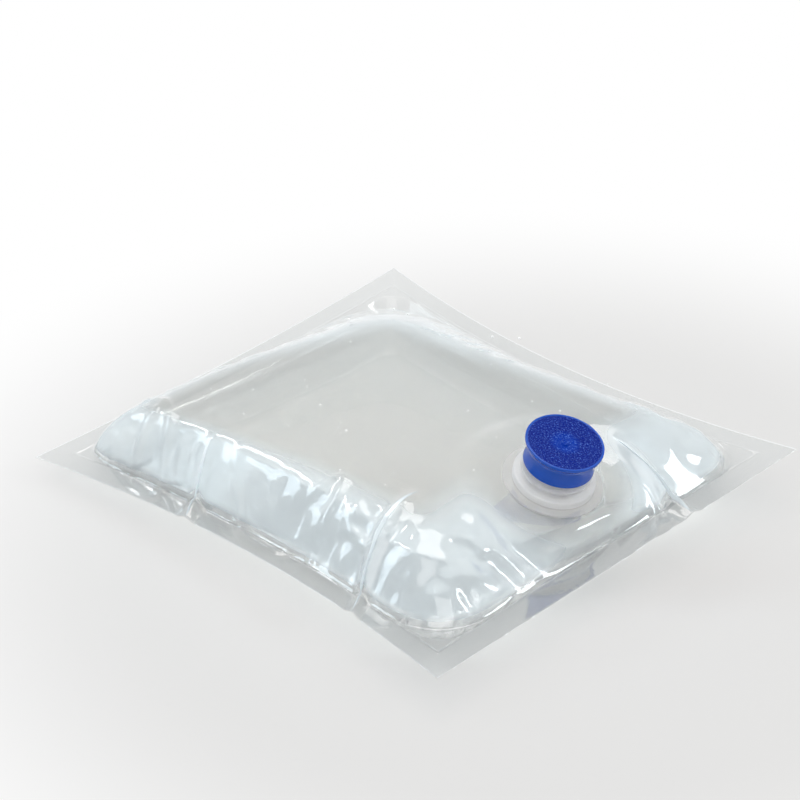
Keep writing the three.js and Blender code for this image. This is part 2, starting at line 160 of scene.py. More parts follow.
@dataclass
class BagForm:
    """The filled bag's form: its outline in plan, its seal, and the two panels' heights.

    The cut length and width are the mean lengths of the settled front panel's lines.
    """

    length: float = 257.0
    width: float = 233.0
    tail_bow: float = 7.0
    spout_end_bow: float = 3.0
    near_bow: float = 13.0
    far_bow: float = 12.0
    gauge: float = 0.2
    seal_gap: float = 0.06
    seal_width: float = 12.0
    crown: float = 1.2
    fill_height: float = 43.5
    tail_dip: float = 6.0
    air_depth: float = 4.5
    tail_near_height: float = 9.5
    spout_near_height: float = 18.5
    spout_far_height: float = 24.0
    tail_far_height: float = 19.5
    near_height: float = 13.0
    spout_end_height: float = 18.0
    far_height: float = 18.5
    tail_height: float = 17.0
    near_tail_slope: float = 16.0
    near_spout_slope: float = 50.0
    far_tail_slope: float = 72.0
    far_spout_slope: float = 42.0
    tail_near_slope: float = 44.0
    tail_far_slope: float = 78.0
    spout_end_slope: float = 46.0
    under_slope: float = 30.0
    corner_power: float = 3.0
    shoulder_power: float = 2.2
    gather_height: float = 5.5
    gather_half_width: float = 5.2
    tail_gather_x: float = -38.0
    tail_gather_reach: float = 30.0
    front_gather_x: float = 70.0
    front_gather_reach: float = 62.0
    gather_slant: float = 0.47
    end_gather_y: float = 47.0
    end_gather_reach: float = 44.0
    spout_offset: float = 4.3
    flange_to_seal: float = 9.6
    flange_radius: float = 22.5
    flange_margin: float = 2.5
    flange_blend: float = 22.0
    tilt: float = math.radians(16.0)
    cut_length: float = 264.0
    cut_width: float = 236.0

    def __post_init__(self) -> None:
        """Works out the spout's place from the seal and the flange."""
        half = self.flange_radius
        self.spout_y = self.spout_offset
        inner = self.end_seal_x(np.array(self.spout_y * 2 / self.width))
        self.spout_x = float(inner) - self.flange_to_seal - half * math.cos(self.tilt)
        self.spout_z = self.fill_height - half * math.sin(self.tilt)
        self.panel_offset = (0.3 + self.gauge) / 2
        self.water_level = self.fill_height - self.air_depth

    def plan(self, a: Grid, b: Grid) -> tuple[Grid, Grid]:
        """X and Y of a point: a rectangle with its edges drawn in as parabolas, and lines that lean.

        Formula: each coordinate is its parameter times half the size less the edge's bow, and X
        loses a lean that grows from the near edge and fades towards the far edge and the ends.
        """
        end_bow = np.where(a < 0, self.tail_bow, self.spout_end_bow)
        side_bow = np.where(b < 0, self.near_bow, self.far_bow)
        fade = smooth(2 - 2 * np.abs(a))
        lean = self.gather_slant * (self.width / 2) * (1 + b) * (1 - b) ** 2 / 4 * fade
        x = a * (self.length / 2 - end_bow * (1 - b * b)) - lean
        y = b * (self.width / 2 - side_bow * (1 - a * a))
        return x, y

    def end_seal_x(self, b: Grid) -> Grid:
        """X of the inner line of the spout end's seal."""
        return self.plan(np.full_like(b, 1 - self.seal_width * 2 / self.length), b)[0]

    def seal_height(self, a: Grid, b: Grid) -> Grid:
        """Height of the weld line carried inwards: a Coons patch between four parabolas."""
        u, v = (1 + a) / 2, (1 + b) / 2
        near = through(self.tail_near_height, self.near_height, self.spout_near_height, a)
        far = through(self.tail_far_height, self.far_height, self.spout_far_height, a)
        tail = through(self.tail_near_height, self.tail_height, self.tail_far_height, b)
        end = through(self.spout_near_height, self.spout_end_height, self.spout_far_height, b)
        low = lerp(self.tail_near_height, self.spout_near_height, u)
        high = lerp(self.tail_far_height, self.spout_far_height, u)
        return lerp(near, far, v) + lerp(tail, end, u) - lerp(low, high, v)

    def inset(self, a: Grid, b: Grid) -> tuple[Grid, Grid]:
        """Distance from the seal's inner line along X and along Y, as plan lengths."""
        return (
            (1 - np.abs(a)) * self.length / 2 - self.seal_width,
            (1 - np.abs(b)) * self.width / 2 - self.seal_width,
        )

    def climb(self, along_x: Grid, along_y: Grid) -> Grid:
        """0 at the seal's inner line and 1 on the flat: a superellipse joins the two directions."""
        rest_x, rest_y = np.maximum(0, 1 - along_x), np.maximum(0, 1 - along_y)
        power = self.corner_power
        return np.clip(1 - (rest_x**power + rest_y**power) ** (1 / power), 0, 1)

    def front_climb(self, a: Grid, b: Grid) -> Grid:
        """How far the front panel has climbed from the seal to its flat."""
        along_x, along_y = self.inset(a, b)
        across, up = smooth((1 + a) / 2), smooth((1 + b) / 2)
        near = lerp(self.near_tail_slope, self.near_spout_slope, across)
        far = lerp(self.far_tail_slope, self.far_spout_slope, across)
        tail = lerp(self.tail_near_slope, self.tail_far_slope, up)
        slope_x = np.where(a < 0, tail, self.spout_end_slope)
        return self.climb(along_x / slope_x, along_y / np.where(b < 0, near, far))

    def back_climb(self, a: Grid, b: Grid) -> Grid:
        """How far the back panel has come from the seal to the floor."""
        along_x, along_y = self.inset(a, b)
        return self.climb(along_x / self.under_slope, along_y / self.under_slope)

    def gather(self, across: Grid, inward: Grid, reach: float) -> Grid:
        """One gather's height: a gable across it, fading out along its reach.

        Formula: a straight gable across the gather, times a rise over the first third of the reach
        and a parabola down to its tip.

        Args:
            across: distance across the gather's line.
            inward: distance along the line from the bag's edge.
            reach: length of the gather.

        Returns:
            The height at each point.
        """
        side = np.abs(across) / self.gather_half_width
        gable = np.clip(1 - side, 0, 1)
        along = np.clip(inward / reach, 0, 1)
        return self.gather_height * gable * lerp(0.35, 1, smooth(along * 3)) * (1 - along**2)

    def gathers(self, a: Grid, b: Grid) -> Grid:
        """Height that the three gathers add to the seal and to the panels beside it."""
        half_length, half_width = self.length / 2, self.width / 2
        from_near, from_end = (1 + b) * half_width, (1 - a) * half_length
        return (
            self.gather(a * half_length - self.tail_gather_x, from_near, self.tail_gather_reach)
            + self.gather(a * half_length - self.front_gather_x, from_near, self.front_gather_reach)
            + self.gather(b * half_width - self.end_gather_y, from_end, self.end_gather_reach)
        )

    def flange_hold(self, x: Grid, y: Grid, b: Grid) -> Grid:
        """1 where the film lies on the flange, 0 where it is free."""
        from_axis = np.hypot((x - self.spout_x) / math.cos(self.tilt), y - self.spout_y)
        beyond = (from_axis - self.flange_radius - self.flange_margin) / self.flange_blend
        to_seal = (self.end_seal_x(b) - x) / (self.flange_to_seal - 2 * self.flange_margin)
        return (1 - smooth(beyond)) * smooth(to_seal)

    def front(self, a: Grid, b: Grid) -> Grid:
        """Points of the front panel's middle surface.

        Formula: the seal's height blended to the flat by one less the rest of the climb to a power,
        plus the gathers, and blended to the flange's tilted plane round the spout.
        """
        x, y = self.plan(a, b)
        rise = 1 - (1 - self.front_climb(a, b)) ** self.shoulder_power
        flat = self.fill_height + self.crown * (1 - a * a) * (1 - b * b)
        flat = flat - self.tail_dip * ((1 - a) / 2) ** 2
        pillow = lerp(self.seal_height(a, b), flat, rise) + self.gathers(a, b)
        plane = self.spout_z - math.tan(self.tilt) * (x - self.spout_x)
        z = lerp(pillow, plane, self.flange_hold(x, y, b))
        offset = lerp(self.seal_offset, self.panel_offset, smooth(rise * 12))
        return np.stack([x, y, z + offset], axis=-1)

    def back(self, a: Grid, b: Grid) -> Grid:
        """Points of the back panel's middle surface: it drops from the seal and lies on the floor."""
        x, y = self.plan(a, b)
        hang = (1 - self.back_climb(a, b)) ** self.shoulder_power
        z = lerp(self.gauge / 2, self.seal_height(a, b) + self.gathers(a, b) - self.seal_offset, hang)
        return np.stack([x, y, z], axis=-1)

    @property
    def seal_offset(self) -> float:
        """Weld line to the middle of either panel."""
        return (self.seal_gap + self.gauge) / 2


@dataclass
class FilmSettler:
    """Crumples a panel as real film does where it holds more length than the form needs.

    The panel keeps its own lengths, which are a little longer near the seal than the form's, and is
    drawn back to the form by weak ties, so that it buckles into folds across the excess.
    """

    excess: float = 0.055
    excess_reach: float = 40.0
    patch: float = 30.0
    weld_rest: float = 9.0
    weld_tie: float = 0.08
    fold_tie: float = 0.12
    stiffness: float = 0.35
    tie: float = 0.004
    coarse_steps: int = 320
    ripple: float = 0.8
    fine_steps: int = 40
    calm_steps: int = 2
    skip: int = 4
    seed: int = 11

    def rest_lengths(self, form: BagForm, points: Grid, a: Grid, b: Grid, di: int, dj: int) -> Grid:
        """Rest length of each link: its present length, longer along the seal close to it.

        Formula: length times one plus the excess, which falls off with the distance from the long
        edges for links along them, and from the short edges for links along those.
        """
        rows, columns = a.shape
        here = (slice(0, rows - di), slice(max(0, -dj), columns - max(0, dj)))
        there = (slice(di, rows), slice(max(0, dj), columns - max(0, -dj)))
        span = points[there] - points[here]
        length = np.linalg.norm(span, axis=-1)
        along_x, along_y = form.inset(a[here], b[here])
        share_x = span[..., 0] ** 2 / (span[..., 0] ** 2 + span[..., 1] ** 2 + 1e-9)
        loose = smooth((np.minimum(along_x, along_y) + self.weld_rest) / self.weld_rest)
        near_side = loose * np.exp(-(np.maximum(along_y, 0) / self.excess_reach) ** 2)
        near_end = loose * np.exp(-(np.maximum(along_x, 0) / self.excess_reach) ** 2)
        x, y = points[here][..., 0], points[here][..., 1]
        patch = smooth(0.55 + 0.8 * value_noise(x / self.patch + 31, y / self.patch + 5, self.seed + 5))
        extra = self.excess * patch * (share_x * near_side + (1 - share_x) * near_end)
        return length * (1 + extra)

    def settle(self, form: BagForm, base: Grid, start: Grid, a: Grid, b: Grid, steps: int, tie: Grid) -> Grid:
        """Steps the panel towards its own lengths.

        Formula: at each step every link moves its two ends towards or away from each other by a
        share of its error, the moves are averaged, and each point is drawn back to the form.
        """
        points = start.copy()
        links = [((1, 0), 1.0), ((0, 1), 1.0), ((1, 1), 0.5), ((1, -1), 0.5)]
        links += [((2, 0), self.stiffness), ((0, 2), self.stiffness)]
        rests = [self.rest_lengths(form, base, a, b, *step) for step, _ in links]
        rows, columns = a.shape
        for _ in range(steps):
            move = np.zeros_like(points)
            weight = np.zeros(a.shape)
            for ((di, dj), strength), rest in zip(links, rests):
                here = (slice(0, rows - di), slice(max(0, -dj), columns - max(0, dj)))
                there = (slice(di, rows), slice(max(0, dj), columns - max(0, -dj)))
                span = points[there] - points[here]
                length = np.linalg.norm(span, axis=-1)
                pull = (0.5 * strength * (length - rest) / length)[..., None] * span
                move[here] += pull
                move[there] -= pull
                weight[here] += strength
                weight[there] += strength
            points += 1.6 * move / weight[..., None]
            points += tie[..., None] * (base - points)
        return points

    def run(self, form: BagForm, a: Grid, b: Grid) -> Grid:
        """Settles a coarse net, carries its folds to the fine one and settles that."""
        base = form.front(a, b)
        x, y = base[..., 0], base[..., 1]
        hold = form.flange_hold(x, y, b)
        climb = form.front_climb(a, b)
        tie = lerp(self.tie, 0.3, smooth((climb - 0.6) / 0.4))
        along_x, along_y = form.inset(a, b)
        welded = 1 - smooth((np.minimum(along_x, along_y) + self.weld_rest) / self.weld_rest)
        tie = np.maximum(tie, self.weld_tie * welded)
        tie = np.maximum(tie, self.weld_tie * (1 - smooth(climb * 12)))
        tie = np.maximum(tie, self.fold_tie * smooth(form.gathers(a, b) / 2))
        tie = lerp(tie, 1.0, smooth(hold * 1.6))
        kick = 1.2 * value_noise(x / 22 + 20, y / 15 + 20, self.seed)
        kick = kick + 0.4 * value_noise(x / 8 + 9, y / 8 + 7, self.seed + 1)
        kick = kick * (1 - smooth(climb * 1.1)) * (1 - 0.9 * welded)
        coarse = (slice(None, None, self.skip), slice(None, None, self.skip))
        start = base[coarse] + kick[coarse][..., None] * grid_normals(base[coarse])
        folded = self.settle(form, base[coarse], start, a[coarse], b[coarse], self.coarse_steps, tie[coarse])
        shift = self.spread(folded - base[coarse], a.shape)
        ripple = value_noise(x / 6 + 3, y / 6 + 11, self.seed + 2) * (1 - smooth(climb * 1.1)) * (1 - welded)
        where = smooth(0.4 + value_noise(x / 28 + 2, y / 28 + 40, self.seed + 3))
        shift = shift + (self.ripple * ripple * where)[..., None] * grid_normals(base)
        shift = self.settle(form, base, base + shift, a, b, self.fine_steps, tie) - base
        for _ in range(self.calm_steps):
            shift[1:-1] = shift[1:-1] / 2 + (shift[:-2] + shift[2:]) / 4
            shift[:, 1:-1] = shift[:, 1:-1] / 2 + (shift[:, :-2] + shift[:, 2:]) / 4
        return base + shift * (1 - smooth(hold * 3))[..., None]

    def spread(self, coarse: Grid, shape: tuple[int, int]) -> Grid:
        """Carries a coarse field to the fine net by cubic blending along rows and then columns."""
        rows = np.linspace(0, coarse.shape[0] - 1, shape[0])
        columns = np.linspace(0, coarse.shape[1] - 1, shape[1])
        return self.cubic(np.swapaxes(self.cubic(coarse, rows), 0, 1), columns).swapaxes(0, 1)

    def cubic(self, values: Grid, at: Grid) -> Grid:
        """Catmull-Rom interpolation of the first axis at fractional places."""
        last = len(values) - 1
        k = np.clip(np.floor(at).astype(int), 0, last - 1)
        t = (at - k).reshape(-1, *([1] * (values.ndim - 1)))
        p = [values[np.clip(k + step, 0, last)] for step in (-1, 0, 1, 2)]
        return p[1] + 0.5 * t * (
            p[2] - p[0]
            + t * (2 * p[0] - 5 * p[1] + 4 * p[2] - p[3] + t * (3 * (p[1] - p[2]) + p[3] - p[0]))
        )


@dataclass(frozen=True)
class Crease:
    """A curved ridge in the film, through three places in plan."""

    start: tuple
    middle: tuple
    end: tuple
    height: float = 0.7
    width: float = 1.6

    def rise(self, x: Grid, y: Grid) -> Grid:
        """Height it adds at each point.

        Formula: a parabola through the three places, with a bell across it, fading at both ends.
        """
        t = np.linspace(0, 1, 41)[:, None]
        start, middle, end = (np.array(place) for place in (self.start, self.middle, self.end))
        control = 2 * middle - (start + end) / 2
        line = (1 - t) ** 2 * start + 2 * t * (1 - t) * control + t**2 * end
        away = (x[..., None] - line[:, 0]) ** 2 + (y[..., None] - line[:, 1]) ** 2
        bell = np.exp(-away / self.width**2) * np.sin(t[:, 0] * math.pi) ** 0.5
        return self.height * bell.max(axis=-1)


CREASES = (
    Crease((35.6, -74.3), (86.8, -71.8), (86.7, -29.0), 0.5, 2.2),
    Crease((29.6, -72.6), (51.9, -83.1), (69.1, -74.7), 0.7, 1.6),
    Crease((31.7, -69.3), (51.5, -74.9), (63.5, -67.3), 0.5, 1.5),
    Crease((34.4, -85.3), (50.6, -82.0), (64.7, -95.3), 0.9, 1.8),
    Crease((-33.7, -76.6), (-4.5, -96.8), (20.0, -89.1), 1.3, 2.2),
    Crease((13.3, -82.9), (23.1, -65.3), (30.9, -101.3), 1.1, 1.8),
    Crease((24.4, -95.2), (37.9, -94.6), (55.1, -96.5), 0.9, 1.8),
    Crease((-98.1, -75.3), (-74.8, -79.2), (-61.4, -103.9), 1.4, 2.4),
    Crease((82.7, 45.1), (104.4, 45.6), (132.0, 32.3), 0.9, 1.8),
    Crease((81.3, -72.1), (87.0, -53.8), (109.7, -59.5), 0.7, 2.4),
    Crease((84.6, 21.5), (108.9, 11.7), (117.7, -12.5), 0.9, 2.2),
    Crease((-91.5, -95.8), (-81.8, -92.2), (-85.3, -71.3), 1.1, 2.0),
    Crease((98.7, 42.2), (120.7, 29.9), (124.8, 11.9), 0.9, 2.0),
)


class Nodes:
    """Short calls for building the nodes of a material or a world."""

    def __init__(self, owner: bpy.types.Material | bpy.types.World) -> None:
        """Empties the node tree of a material or a world."""
        owner.use_nodes = True
        self.owner = owner
        self.tree = owner.node_tree
        self.tree.nodes.clear()

    @classmethod
    def named(cls, name: str) -> "Nodes":
        """Starts an empty material."""
        return cls(bpy.data.materials.new(name))

    def add(self, kind: str, inputs: dict | None = None, **settings: object) -> bpy.types.Node:
        """Adds a node, sets its properties, and sets or links its inputs."""
        node = self.tree.nodes.new(kind)
        for key, value in settings.items():
            setattr(node, key, value)
        for key, value in (inputs or {}).items():
            if isinstance(value, bpy.types.NodeSocket):
                self.tree.links.new(value, node.inputs[key])
            else:
                node.inputs[key].default_value = value
        return node

    def finish(self, surface: bpy.types.NodeSocket) -> bpy.types.Material:
        """Links the surface to the output and returns the material."""
        self.add("ShaderNodeOutputMaterial", {"Surface": surface})
        return self.owner

    def over(self, share: object, first: object, second: object) -> bpy.types.NodeSocket:
        """A mix of two shaders: the first where share is 0 and the second where it is 1."""
        return self.add("ShaderNodeMixShader", {"Fac": share, 1: first, 2: second}).outputs[0]

    def span(self, value: object, ends: tuple = (0.0, 1.0), results: tuple = (0.0, 1.0),
             kind: str = "LINEAR") -> bpy.types.NodeSocket:
        """Maps a value from one span to another, held at both ends.

        Args:
            value: the value or socket to map.
            ends: the values that give the two results.
            results: the results at the two ends.
            kind: LINEAR, or SMOOTHSTEP for an eased map.

        Returns:
            The mapped value.
        """
        inputs = {"Value": value, "From Min": ends[0], "From Max": ends[1]}
        inputs.update({"To Min": results[0], "To Max": results[1]})
        return self.add("ShaderNodeMapRange", inputs, interpolation_type=kind).outputs[0]

    def seen(self) -> bpy.types.NodeSocket:
        """1 for rays from the camera, from mirrors and through glass or water, and 0 for others."""
        path = self.add("ShaderNodeLightPath").outputs
        direct = self.math("MAXIMUM", path["Is Camera Ray"], path["Is Glossy Ray"])
        return self.math("MAXIMUM", direct, path["Is Transmission Ray"])

    def math(self, operation: str, *values: object) -> bpy.types.NodeSocket:
        """A sum, product or other operation on values or sockets."""
        return self.add("ShaderNodeMath", dict(enumerate(values)), operation=operation).outputs[0]

    def blend(self, share: object, first: object, second: object) -> bpy.types.NodeSocket:
        """A mix of two colours."""
        node = self.tree.nodes.new("ShaderNodeMix")
        node.data_type = "RGBA"
        for place, value in ((0, share), (6, first), (7, second)):
            if isinstance(value, bpy.types.NodeSocket):
                self.tree.links.new(value, node.inputs[place])
            else:
                node.inputs[place].default_value = value
        return node.outputs[2]

    def bump(self, height: bpy.types.NodeSocket, strength: float, distance: float) -> bpy.types.NodeSocket:
        """A bumped normal from a height."""
        return self.add(
            "ShaderNodeBump", {"Height": height, "Strength": strength, "Distance": distance}
        ).outputs["Normal"]

    def object_place(self) -> bpy.types.NodeSocket:
        """Object coordinates."""
        return self.add("ShaderNodeTexCoord").outputs["Object"]


@dataclass(frozen=True)
class FilmFinish:
    """Clear glossy polyethylene film: see-through, with a sharp mirror and a trace of haze, and painted
    light: lighter over the water, and lighter, bluer and hazier on the slack slopes.
    """

    name: str = "clear_film"
    mirror_ior: float = 1.5
    mirror_gain: float = 1.6
    tint: tuple = (0.95, 0.945, 0.939, 1.0)
    # painted light: over the water the film is painted lighter and warmer than the dry film, making up for
    # the shade in the water below
    filled_painted_light_tint: tuple = (0.97, 0.957, 0.942, 1.0)
    # painted light: on the slack slopes the film is painted lighter and bluer than elsewhere
    slope_painted_light_tint: tuple = (0.98, 0.996, 1.0, 1.0)
    lamp_tint: tuple = (0.95, 0.953, 0.955, 1.0)
    gloss_roughness: float = 0.035
    haze: float = 0.1
    # the slopes' extra haze is partly the slack film's own haze and partly painted light that brightens them
    slope_haze_and_painted_light: float = 0.48
    # painted reflection: the haze is painted blue, standing in for the bluish light the film reflects
    haze_with_painted_blue_light: tuple = (0.84, 0.94, 1.0, 1.0)
    bead_width: float = 0.9

    def material(self) -> bpy.types.Material:
        """Transparent and glossy mixed by Fresnel, over a thin haze; the transparent colour and the haze
        carry the painted light.
        """
        n = Nodes.named(self.name)
        place = n.object_place()
        fine = n.add("ShaderNodeTexNoise", {"Vector": place, "Scale": 260.0, "Detail": 3.0})
        stretch = n.add("ShaderNodeMapping", {"Vector": place, "Scale": (1.0, 9.0, 1.0)})
        streaks = {"Vector": stretch.outputs["Vector"], "Scale": 90.0, "Detail": 2.0}
        lines = n.add("ShaderNodeTexNoise", streaks)
        inset = n.add("ShaderNodeAttribute", attribute_name="inset").outputs["Fac"]
        off = n.math("ABSOLUTE", n.math("ADD", inset, 0.6))
        bead = n.span(off, (self.bead_width, 0.0))
        height = n.math("ADD", fine.outputs["Fac"], lines.outputs["Fac"])
        height = n.math("ADD", n.math("MULTIPLY", height, 0.1), bead)
        normal = n.bump(height, 0.8, 0.0003)
        loose = n.add("ShaderNodeAttribute", attribute_name="loose").outputs["Fac"]
        wet = n.add("ShaderNodeAttribute", attribute_name="wet").outputs["Fac"]
        # painted light: the see-through colour is lighter and warmer over the water, and lighter and bluer on
        # the slack slopes
        shade = n.blend(loose, n.blend(wet, self.tint, self.filled_painted_light_tint), self.slope_painted_light_tint)
        clear = n.add("ShaderNodeBsdfTransparent", {"Color": shade}).outputs[0]
        gloss = n.add(
            "ShaderNodeBsdfGlossy",
            {"Color": (1, 1, 1, 1), "Roughness": self.gloss_roughness, "Normal": normal},
        ).outputs[0]
        fresnel = n.add("ShaderNodeFresnel", {"IOR": self.mirror_ior, "Normal": normal}).outputs[0]
        outside = n.add("ShaderNodeNewGeometry").outputs["Backfacing"]
        outside = n.math("SUBTRACT", 1.0, outside)
        mirror = n.math("MULTIPLY", n.math("MULTIPLY", fresnel, outside), self.mirror_gain)
        # painted light: more haze on the slack slopes brightens them
        milky = n.span(loose, results=(self.haze, self.slope_haze_and_painted_light))
        haze = n.math("MULTIPLY", outside, milky)
        cloud = n.add("ShaderNodeBsdfDiffuse", {"Color": self.haze_with_painted_blue_light}).outputs[0]
        skin = n.over(mirror, n.over(haze, clear, cloud), gloss)
        lamp = n.add("ShaderNodeLightPath").outputs["Is Shadow Ray"]
        open_way = n.add("ShaderNodeBsdfTransparent", {"Color": self.lamp_tint}).outputs[0]
        return n.finish(n.over(lamp, skin, open_way))


@dataclass(frozen=True)
class WaterFinish:
    """Clear water."""

    ior: float = 1.3
    calm: float = 0.15
    color: tuple = (0.985, 0.992, 0.99, 1.0)
    clear: tuple = (0.985, 0.988, 0.982, 1.0)

    def material(self) -> bpy.types.Material:
        """Refraction for sight, and a clear shader for the lamps' rays."""
        n = Nodes.named("clear_water")
        body = n.add(
            "ShaderNodeBsdfPrincipled",
            {"Base Color": self.color, "Roughness": 0.0, "IOR": self.ior, "Transmission Weight": 1.0},
        ).outputs[0]
        clear = n.add("ShaderNodeBsdfTransparent", {"Color": self.clear}).outputs[0]
        shadow = n.add("ShaderNodeLightPath").outputs["Is Shadow Ray"]
        return n.finish(n.over(shadow, n.over(self.calm, body, clear), clear))


@dataclass(frozen=True)
class BubbleFinish:
    """Tiny bubbles in water, seen as white specks: a painted glint of matt white, with a mirror at their rim.
    """

    glint: tuple = (1.0, 1.0, 1.0, 1.0)
    # painted highlight: the share of matt white that stands in for the bubbles' glint
    painted_white_glint: float = 0.9

    def material(self) -> bpy.types.Material:
        """Mostly matt white where it faces the eye, which is a painted glint, and glossy where it turns away.
        """
        n = Nodes.named("air_bubble")
        facing = n.add("ShaderNodeLayerWeight", {"Blend": 0.3}).outputs["Facing"]
        clear = n.add("ShaderNodeBsdfTransparent").outputs[0]
        white = n.add("ShaderNodeBsdfDiffuse", {"Color": self.glint}).outputs[0]
        painted_white_glint = n.over(self.painted_white_glint, clear, white)
        gloss = n.add("ShaderNodeBsdfGlossy", {"Color": self.glint, "Roughness": 0.05}).outputs[0]
        return n.finish(n.over(facing, painted_white_glint, gloss))


@dataclass(frozen=True)
class SpoutFinish:
    """Translucent natural polyethylene."""

    color: tuple = (1.0, 1.0, 1.0, 1.0)

    def material(self) -> bpy.types.Material:
        """Soft scattering with a low, slightly rough sheen."""
        n = Nodes.named("natural_polyethylene")
        place = n.object_place()
        noise = n.add("ShaderNodeTexNoise", {"Vector": place, "Scale": 900.0, "Detail": 4.0}).outputs["Fac"]
        body = n.add(
            "ShaderNodeBsdfPrincipled",
            {
                "Base Color": self.color,
                "Roughness": 0.28,
                "Subsurface Weight": 0.8,
                "Subsurface Radius": (1.0, 1.0, 1.0),
                "Subsurface Scale": 0.01,
                "Transmission Weight": 0.35,
                "IOR": 1.45,
                "Normal": n.bump(noise, 0.15, 0.0002),
            },
        ).outputs[0]
        return n.finish(body)


@dataclass(frozen=True)
class CapFinish:
    """Blue polyethylene: glossy on the skirt, spark-eroded on the disc, with painted light: a lighter blue in
    the dish.
    """

    skirt: tuple = (0.0, 0.07, 0.47, 1.0)
    disc: tuple = (0.0, 0.013, 0.22, 1.0)
    # painted light: the dish is a lighter blue than the disc round it, on a moulding of one blue
    dish_painted_light: tuple = (0.0, 0.032, 0.34, 1.0)
    speck: tuple = (0.08, 0.17, 0.62, 1.0)
    speck_ends: tuple = (0.55, 0.66)
    dish_radius: float = 7.5
    roughness: tuple = (0.12, 0.36)
    gloss: tuple = (0.4, 0.07)

    def material(self, form: BagForm, disc_height: float, disc_radius: float) -> bpy.types.Material:
        """A grainy disc inside the rim, and gloss elsewhere.

        Args:
            form: gives the spout's axis.
            disc_height: height of the disc's face along the axis.
            disc_radius: radius of the grainy part.

        Returns:
            The material.
        """
        n = Nodes.named("blue_polyethylene")
        place = n.object_place()
        centre = (form.spout_x * MM, form.spout_y * MM, (form.spout_z + form.panel_offset) * MM)
        moved = n.add("ShaderNodeVectorMath", {0: place, 1: centre}, operation="SUBTRACT").outputs[0]
        own = n.add(
            "ShaderNodeVectorRotate", {"Vector": moved, "Angle": -form.tilt}, rotation_type="Y_AXIS"
        ).outputs[0]
        split = n.add("ShaderNodeSeparateXYZ", {0: own}).outputs
        flat = n.add("ShaderNodeCombineXYZ", {"X": split["X"], "Y": split["Y"]}).outputs[0]
        radius = n.add("ShaderNodeVectorMath", {0: flat}, operation="LENGTH").outputs["Value"]
        inside = n.span(radius, (disc_radius * MM, (disc_radius - 0.5) * MM))
        above = n.span(split["Z"], ((disc_height - 1.2) * MM, (disc_height - 0.9) * MM))
        grainy = n.math("MULTIPLY", inside, above)
        grain = n.add("ShaderNodeTexNoise", {"Vector": own, "Scale": 1700.0, "Detail": 3.0}).outputs["Fac"]
        pits = n.add("ShaderNodeTexVoronoi", {"Vector": own, "Scale": 1500.0}).outputs["Distance"]
        height = n.math("MULTIPLY", n.math("ADD", grain, pits), grainy)
        bright = n.span(grain, self.speck_ends)
        # painted light: the dish's lighter blue fades in inside dish_radius
        middle = n.span(radius, (self.dish_radius * MM, (self.dish_radius - 3.0) * MM))
        face = n.blend(bright, n.blend(middle, self.disc, self.dish_painted_light), self.speck)
        color = n.blend(grainy, self.skirt, face)
        shine = n.span(grainy, results=self.roughness)
        sheen = n.span(grainy, results=self.gloss)
        body = n.add(
            "ShaderNodeBsdfPrincipled",
            {
                "Base Color": color,
                "Roughness": shine,
                "Specular IOR Level": sheen,
                "IOR": 1.5,
                "Normal": n.bump(height, 0.9, 0.00035),
            },
        ).outputs[0]
        return n.finish(body)


